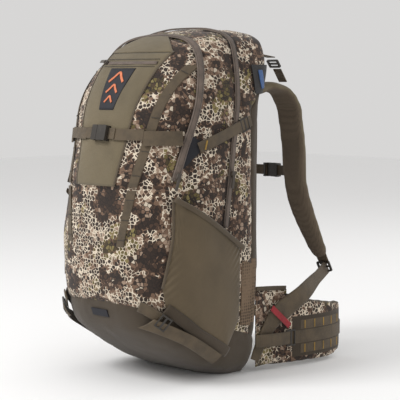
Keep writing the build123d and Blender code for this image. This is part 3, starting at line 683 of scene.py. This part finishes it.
def bar_tack(name, centre, along, normal, length, width, thread, body, height=0.0009):
    """A close zigzag of thread: a low ridged block across a piece of webbing."""
    tack = bmesh.new()
    bmesh.ops.create_cube(tack, size=1)
    ridges = [e for e in tack.edges if abs((e.verts[0].co - e.verts[1].co).x) > 0.5]
    bmesh.ops.subdivide_edges(tack, edges=ridges, cuts=9)
    across = normal.cross(along).normalized()
    for vert in tack.verts:
        wave = 0.85 + 0.15 * math.cos(vert.co.x * 20 * math.pi)
        sideways = across * (vert.co.y * width * wave)
        vert.co = centre + (along * (vert.co.x * length) + sideways + normal * (vert.co.z * height))
    bmesh.ops.recalc_face_normals(tack, faces=tack.faces)
    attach(link_object(name, mesh_from(tack, name), thread, smooth=False), body)


def daisy_x(z):
    return DAISY_FOOT_X + (z - DAISY_FOOT_Z) * DAISY_SPREAD


UPRIGHT_TACK_ZS = (0.270, 0.306, 0.342, 0.385, 0.428, 0.488, 0.530, 0.568)
for word, side in (("right", 1), ("left", -1)):
    for i, z in enumerate(UPRIGHT_TACK_ZS):
        spot, out = drape(on_front(side * daisy_x(z), z), 0.0026)
        across = Vector((1, 0, 0)) - out * out.x
        bar_tack(f"upright_tack_{word}_{i + 1}", spot, across.normalized(), out, 0.0145, 0.0016, brown_thread,
                 "door" if z > FOLD_Z else "bag")

# ------------------------------------------------------------------ gussets and the flank straps' hardware
# Dark gussets behind the door's zip, where yellow thread holds each compression strap; ladder locks take up the
# compression straps, the lash straps and the belt's stabilisers.
def ladder_lock(name, centre, along, normal, width, body, plastic):
    """A moulded ladder lock: a flat frame with three bars round two slots, its edges rounded."""
    columns = (-width / 2 - 0.003, -width / 2, width / 2, width / 2 + 0.003)
    bars = (-0.011, -0.0085, -0.002, 0.002, 0.0085, 0.011)
    lock = bmesh.new()
    bmesh.ops.create_grid(lock, x_segments=5, y_segments=3, size=0.5)
    middles = [(f, f.calc_center_median()) for f in lock.faces]
    slots = [f for f, middle in middles if abs(middle.y) < 0.1 and 0.1 < abs(middle.x) < 0.3]
    for vert in lock.verts:
        vert.co = Vector((bars[round((vert.co.x + 0.5) * 5)], columns[round((vert.co.y + 0.5) * 3)], 0))
    bmesh.ops.delete(lock, geom=slots, context="FACES")
    bmesh.ops.solidify(lock, geom=lock.faces[:], thickness=0.0034)
    bmesh.ops.recalc_face_normals(lock, faces=lock.faces)
    sharp = [e for e in lock.edges if len(e.link_faces) == 2 and e.calc_face_angle() > 0.8]
    bmesh.ops.bevel(lock, geom=sharp, offset=0.0006, segments=2, profile=0.5, affect="EDGES", material=-1)
    across = normal.cross(along).normalized()
    for vert in lock.verts:
        vert.co = centre + along * vert.co.x + across * vert.co.y + normal * vert.co.z
    bmesh.ops.recalc_face_normals(lock, faces=lock.faces)
    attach(link_object(name, mesh_from(lock, name), plastic, smooth=False), body)


buckle_plastic = moulded_plastic("buckle_plastic", srgb(44, 39, 33))
for word, side in (("right", 1), ("left", -1)):
    spot, out = drape(Vector((0.158 * side, -0.160, 0.439)), 0.0076)
    bar_tack(f"gusset_tack_{word}", spot, Vector((0, 0.3, 1)).normalized(), out, 0.017, 0.0028, yellow_thread, "bag")
    head, out = drape(Vector((0.158 * side, -0.062, 0.474)), 0.0090)
    rising = (Vector((0, 0.94, 0.34)) - out * out.y).normalized()
    ladder_lock(f"compression_lock_{word}", head, rising, out, 0.020, "bag", buckle_plastic)
    lash, out = drape(Vector((0.150 * side, -0.256, 0.120)), 0.0150)
    falling = Vector((0.5 * side, 0.6, -0.6))
    falling = (falling - out * out.dot(falling)).normalized()
    ladder_lock(f"lash_lock_{word}", lash, falling, out, 0.022, "bag", buckle_plastic)
    tab = [(0.104 * side, -0.276, 0.152), (0.126 * side, -0.268, 0.140), (0.146 * side, -0.258, 0.124)]
    laid_strip(f"lash_tab_{word}", tab, 0.020, 0.006, webbing, "bag", 0.0018)

# ------------------------------------------------------------------ stretch side pockets
# Four-way stretch cloth gathered into the flank's seams, its slanted mouth bound with elastic.
POCKET_TOP = [(-0.243, 0.186), (-0.237, 0.226), (-0.228, 0.276), (-0.221, 0.344), (-0.146, 0.295), (-0.072, 0.246)]
POCKET_FOOT = [(-0.243, 0.186), (-0.236, 0.150), (-0.176, 0.100), (-0.095, 0.054), (-0.070, 0.113), (-0.072, 0.246)]
POCKET_SLANT = 3  # the point of POCKET_TOP where its front seam ends and the mouth begins
POCKET_LIFT = 0.0105
GATHER_DEPTH, GATHERS_PER_METRE = 0.0016, 420


def along_line(points, share):
    """The place at a share of a broken line's length."""
    line = np.array(points)
    run = np.concatenate([[0], np.cumsum(np.hypot(*np.diff(line, axis=0).T))])
    return np.array([np.interp(share * run[-1], run, line[:, k]) for k in (0, 1)])


def on_flank(y, z):
    """The place on the +X flank at y and z, and its outward direction."""
    place, normal, _, _ = form.ray_cast(Vector((0.4, y, z)), Vector((-1, 0, 0)))
    return place, normal


def edge_distance(point, line):
    """Distance from a (y, z) point to a broken line."""
    nearest = 1.0
    for start, end in zip(line, line[1:]):
        start, step = np.array(start), np.array(end) - np.array(start)
        t = np.clip(np.dot(point - start, step) / np.dot(step, step), 0, 1)
        nearest = min(nearest, float(np.hypot(*(point - start - step * t))))
    return nearest


for word, mirror in (("right", 1), ("left", -1)):
    bag = bmesh.new()
    bmesh.ops.create_grid(bag, x_segments=56, y_segments=40, size=0.5)
    for vert in bag.verts:
        u, v = vert.co.x + 0.5, vert.co.y + 0.5
        spot = along_line(POCKET_FOOT, u) * (1 - v) + along_line(POCKET_TOP, u) * v
        sewn = min(edge_distance(spot, POCKET_FOOT), edge_distance(spot, POCKET_TOP[:POCKET_SLANT + 1]))
        place, normal = on_flank(spot[0], spot[1])
        wave = math.sin((spot[0] - spot[1]) * GATHERS_PER_METRE)
        gathers = GATHER_DEPTH * wave * math.exp(-sewn / 0.024) * min(1, sewn / 0.004)
        rise = 0.001 + POCKET_LIFT * (1 - math.exp(-sewn / 0.017)) + gathers
        vert.co = place + normal * (rise + 0.0012 * noise.noise(Vector((spot[0] * 22, spot[1] * 12, 1.0))))
        vert.co.x *= mirror
    bmesh.ops.remove_doubles(bag, verts=bag.verts, dist=1e-5)
    bmesh.ops.recalc_face_normals(bag, faces=bag.faces)
    if sum(f.normal.x for f in bag.faces) * mirror < 0:
        bmesh.ops.reverse_faces(bag, faces=bag.faces)
    bag_name = f"side_pocket_{word}_cloth"
    bag_object = link_object(bag_name, mesh_from(bag, bag_name), pocket_cloth)
    add_wall(bag_object, 0.0012)
    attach(bag_object, "bag")
    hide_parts(f"side_pocket_{word}")
    for part, line, lift, width, cloth in (
        ("mouth", POCKET_TOP[POCKET_SLANT:], POCKET_LIFT + 0.0014, 0.009, trim_cloth),
        # The foot band is boot cloth along the pocket's lower edge: partly a real band, partly painted shade under the
        # pocket's bulge.
        ("foot_band_painted_shade", POCKET_FOOT[1:4], 0.006, 0.020, painted_shade_boot_cloth),
        ("front_seam", POCKET_TOP[:POCKET_SLANT + 1], 0.0022, 0.0035, trim_cloth),
    ):
        route = [on_flank(*along_line(line, s))[0] for s in np.linspace(0, 1, 12)]
        route = [Vector((p.x * mirror, p.y, p.z)) for p in route]
        laid_strip(f"side_pocket_{word}_{part}", route, width, lift, cloth, "bag", welt=0.001)

# ------------------------------------------------------------------ padded pieces
# Foam in spacer mesh and cloth: the back columns, the lumbar pad, the belt wings and the shoulder straps. Each is
# inflated from its cut shape, then faced; the belt wings' edges are bound.
FOAM_FRAMES, FOAM_SMOOTHINGS = 20, 9


def make_finer(made):
    finer = made.modifiers.new("finer", "SUBSURF")
    finer.levels = finer.render_levels = 1


def foam_from(node, name, voxel, swell, pressure=4.0):
    """A crowned pad: the node's shape remeshed, blown up as cloth with its travel capped, and smoothed."""
    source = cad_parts[node].data
    shape = bmesh.new()
    shape.from_mesh(source)
    bmesh.ops.remove_doubles(shape, verts=shape.verts, dist=1e-5)
    shape.normal_update()
    for vert in shape.verts:
        vert.co -= vert.normal * swell * 0.35
    made = bpy.data.objects.new(name, mesh_from(shape, name))
    bpy.context.collection.objects.link(made)
    bpy.context.view_layer.objects.active = made
    remesh = made.modifiers.new("remesh", "REMESH")
    remesh.mode, remesh.voxel_size = "VOXEL", voxel
    bpy.ops.object.modifier_apply(modifier="remesh")
    start = np.array([v.co for v in made.data.vertices])
    cloth = made.modifiers.new("foam", "CLOTH")
    cloth.settings.use_pressure = True
    cloth.settings.uniform_pressure_force = pressure
    cloth.settings.effector_weights.gravity = 0
    for number in range(1, FOAM_FRAMES + 1):
        bpy.context.scene.frame_set(number)
    bpy.ops.object.modifier_apply(modifier="foam")
    bpy.context.scene.frame_set(1)
    end = np.array([v.co for v in made.data.vertices])
    move = end - start
    far = np.linalg.norm(move, axis=1, keepdims=True)
    end = start + move * np.minimum(1.0, swell / np.maximum(far, 1e-9))
    made.data.vertices.foreach_set("co", end.astype(np.float32).ravel())
    rounded = bmesh.new()
    rounded.from_mesh(made.data)
    for _ in range(FOAM_SMOOTHINGS):
        bmesh.ops.smooth_vert(
            rounded, verts=rounded.verts, factor=0.5, use_axis_x=True, use_axis_y=True, use_axis_z=True
        )
    rounded.to_mesh(made.data)
    rounded.free()
    made.data.shade_smooth()
    make_finer(made)
    return made


def face_by(made, choose, *materials):
    """Gives each face the material that choose picks from its centre and normal."""
    for material in materials:
        made.data.materials.append(material)
    for polygon in made.data.polygons:
        polygon.material_index = choose(polygon.center, polygon.normal)


def mirrored(made, name):
    """The same pad for the left side."""
    twin = bmesh.new()
    twin.from_mesh(made.data)
    bmesh.ops.scale(twin, vec=(-1, 1, 1), verts=twin.verts)
    bmesh.ops.reverse_faces(twin, faces=twin.faces)
    mesh = mesh_from(twin, name)
    for material in made.data.materials:
        mesh.materials.append(material)
    copy = bpy.data.objects.new(name, mesh)
    bpy.context.collection.objects.link(copy)
    make_finer(copy)
    return copy


for node, name in (("back_pads", "back_pad_foam"), ("lumbar_pad", "lumbar_pad_foam")):
    pad = foam_from(node, name, 0.006, 0.004)
    face_by(pad, lambda centre, normal: 0 if normal.y > 0.3 else 1, back_mesh, painted_shade_boot_cloth)
    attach(pad, "bag")
    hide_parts(node)

WING_TOP = [(0.020, 0.170), (0.075, 0.150), (0.118, 0.135), (0.235, 0.114), (0.275, 0.098)]
WING_FOOT = [(0.020, 0.006), (0.050, 0.0), (0.195, 0.0), (0.240, 0.010), (0.275, 0.038)]


def wing_face(centre, normal):
    """Binding at a wing's edges, mesh on the wearer's side, a dark patch under the rows, print elsewhere."""
    top = np.interp(centre.y, *zip(*WING_TOP))
    foot = np.interp(centre.y, *zip(*WING_FOOT))
    if centre.z > top - 0.009 or centre.z < foot + 0.008:
        return 2
    outward = normal.x + normal.y * max(0.0, (centre.y - 0.18) / 0.06)
    if outward < 0.1:
        return 1
    return 3 if 0.085 < centre.y < 0.242 and 0.018 < centre.z < 0.096 else 0


wing = foam_from("belt_wing_right", "belt_wing_right_foam", 0.005, 0.0035)
face_by(wing, wing_face, print_cloth, back_mesh, trim_cloth, painted_shade_boot_cloth)
strap = foam_from("shoulder_strap_right", "shoulder_strap_right_foam", 0.005, 0.004)


def strap_face(centre, normal):
    """Mesh on the wearer's side, which is the inner side of the arch, and cloth outside."""
    inward = -normal.y if centre.z < 0.5 else -normal.z
    return 0 if inward > 0.25 else 1


face_by(strap, strap_face, strap_mesh, brown_cloth)
for made, side_name, node, body in (
    (wing, "belt_wing_left_foam", "belt_wing", "belt"),
    (strap, "shoulder_strap_left_foam", "shoulder_strap", "harness"),
):
    other = mirrored(made, side_name)
    for piece, word in ((made, "right"), (other, "left")):
        if other is piece:
            for polygon, twin in zip(piece.data.polygons, made.data.polygons):
                polygon.material_index = twin.material_index
            piece.data.shade_smooth()
        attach(piece, f"belt_{word}" if body == "belt" else "harness")
        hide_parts(f"{node}_{word}")


# ------------------------------------------------------------------ free webbing of the harness
# Lower straps run from the ladder locks to wide sewn gussets at the foot; load lifters run from the hood.
def free_strap(name, points, widths, hint, cloth, thickness=0.0018):
    """A flat strap along a free line; hint points roughly across it."""
    path = smooth_path(points, 0.005)
    spans = np.linspace(0, 1, len(path))
    stations = np.linspace(0, 1, len(widths))
    shape = bmesh.new()
    bmesh.ops.create_grid(shape, x_segments=len(path) - 1, y_segments=8, size=0.5)
    for vert in shape.verts:
        i, across = round((vert.co.x + 0.5) * (len(path) - 1)), vert.co.y
        along = (path[min(i + 1, len(path) - 1)] - path[max(i - 1, 0)]).normalized()
        wide = Vector(hint)
        wide = (wide - along * wide.dot(along)).normalized()
        vert.co = path[i] + wide * across * float(np.interp(spans[i], stations, widths))
    bmesh.ops.recalc_face_normals(shape, faces=shape.faces)
    bmesh.ops.solidify(shape, geom=shape.faces[:], thickness=thickness)
    bmesh.ops.recalc_face_normals(shape, faces=shape.faces)
    return link_object(name, mesh_from(shape, name), cloth)


LOWER_PATH = [
    (0.1314, 0.215, 0.1814), (0.155, 0.150, 0.163), (0.167, 0.098, 0.142), (0.150, 0.042, 0.103),
    (0.141, 0.012, 0.060), (0.137, -0.006, 0.022),
]
LOWER_WIDTHS = [0.025, 0.025, 0.038, 0.046, 0.030, 0.022]
for word, side in (("right", 1), ("left", -1)):
    route = [(x * side, y, z) for x, y, z in LOWER_PATH]
    lower = free_strap(f"lower_strap_{word}", route, LOWER_WIDTHS, (0, -1, 1), webbing)
    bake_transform(lower)
    lifter_route = [(0.072 * side, 0.044, 0.608), (0.072 * side, 0.080, 0.603), (0.072 * side, 0.111, 0.599)]
    lifter = free_strap(f"lifter_strap_{word}", lifter_route, [0.02, 0.02], (1, 0, 0), webbing)
    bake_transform(lifter)
    if side > 0:
        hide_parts("lower_webbing")
        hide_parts("lifter_webbing")
    tab_route = [(0.124 * side, 0.2035, 0.206), (0.1268 * side, 0.2065, 0.196), (0.1290 * side, 0.2105, 0.186)]
    end_tab = free_strap(f"strap_end_tab_{word}", tab_route, [0.027, 0.025], (1, 0, 0), webbing, 0.0022)
    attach(end_tab, "harness")

# ------------------------------------------------------------------ hydration port
# A slit in the hood's corner under a dark hooded flap, with a blue pull tab.
port_cloth = plain_cloth("port_flap_cloth", srgb(34, 32, 32), weave=400.0)
blue_tape = webbing_cloth("blue_tab", srgb(58, 96, 150), rib=0.001)
dress("hydration_port", port_cloth)
tab_line = [drape(Vector((0.138, -0.004, z)), 0.0)[0] for z in (0.572, 0.556, 0.540)]
laid_strip("port_tab", tab_line, 0.012, 0.0048, blue_tape, "bag", 0.001, spacing=0.003)

# ------------------------------------------------------------------ belt stabilisers
# A short webbing from the foot of the body to a ladder lock on each belt wing pulls the belt in to the pack, over a
# flap of shell cloth that closes the gap between them.
STABILISER = [(0.1465, -0.012, 0.060), (0.1535, 0.020, 0.059), (0.1560, 0.050, 0.058), (0.1565, 0.078, 0.057)]
FLAP = [(0.1370, -0.004, 0.084), (0.1385, 0.020, 0.084), (0.1410, 0.044, 0.083), (0.1475, 0.070, 0.082)]
for word, side in (("right", 1), ("left", -1)):
    route = [(x * side, y, z) for x, y, z in STABILISER]
    stabiliser = free_strap(f"belt_stabiliser_{word}", route, [0.025, 0.025], (0, 0, 1), webbing)
    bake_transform(stabiliser)
    lock_along, lock_out = Vector((0.12 * side, 0.99, 0)).normalized(), Vector((side, -0.12, 0)).normalized()
    ladder_lock(f"belt_lock_{word}", Vector((0.1575 * side, 0.078, 0.057)), lock_along, lock_out, 0.026,
                f"belt_{word}", buckle_plastic)
    route = [(x * side, y, z) for x, y, z in FLAP]
    flap = free_strap(f"belt_flap_{word}", route, [0.150, 0.140], (0, 0, 1), print_cloth, thickness=0.0014)
    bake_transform(flap)
    route = [(x * side * 1.006, y, 0.1595 - 0.06 * y) for x, y, z in FLAP]
    binding = free_strap(f"belt_flap_binding_{word}", route, [0.008, 0.008], (0, 0, 1), trim_cloth, 0.0028)
    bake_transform(binding)

# ------------------------------------------------------------------ belt details
# Bar tacks of yellow thread divide the rows of webbing on each wing into loops.
for word, side in (("right", 1), ("left", -1)):
    low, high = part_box(f"belt_rows_{word}")
    rows_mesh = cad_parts[f"belt_rows_{word}"].data
    outside = BVHTree.FromPolygons([v.co for v in rows_mesh.vertices], [p.vertices for p in rows_mesh.polygons])
    for level, z in enumerate((0.033, 0.080)):
        for i, y in enumerate(np.linspace(low.y + 0.010, high.y - 0.010, 5)):
            spot, normal, _, _ = outside.ray_cast(Vector((0.4 * side, y, z)), Vector((-side, 0, 0)))
            if spot is not None:
                bar_tack(f"belt_tack_{word}_{level + 1}_{i + 1}", spot, Vector((0, 0, 1)), normal, 0.016, 0.0022,
                         yellow_thread, f"belt_{word}")

# ------------------------------------------------------------------ finishes of the hardware and the inner parts
# Moulded buckles, locks and sliders; the frame sheet, the stays and the bladder sleeve inside.
stay_metal, _, stay_shader = plain_material("drawn_aluminium", srgb(190, 190, 194), 0.35)
stay_shader.inputs["Metallic"].default_value = 1.0
NODE_FINISHES = {
    buckle_plastic: ("front_buckle_socket", "front_buckle_plug", "strap_locks", "lifter_locks", "sternum_clips",
                     "sternum_buckle_socket", "sternum_buckle_plug", "belt_buckle_socket", "belt_buckle_plug",
                     "frame_sheet"),
    slider_plastic: ("pocket_zip_slider", "door_zip_slider_right", "door_zip_slider_left", "main_zip_slider_right",
                     "main_zip_slider_left"),
    brown_cloth: ("harness_yoke",),
    back_mesh: ("air_channel_mesh",),
    open_mesh: ("side_mesh",),
    red_webbing: ("red_tabs",),
    patch_cloth: ("blank_label",),
    gusset_cloth: ("gussets",),
    painted_shade_boot_cloth: ("hydration_sleeve",),
    stay_metal: ("frame_stays",),
}
for finish, nodes in NODE_FINISHES.items():
    for node in nodes:
        dress(node, finish)
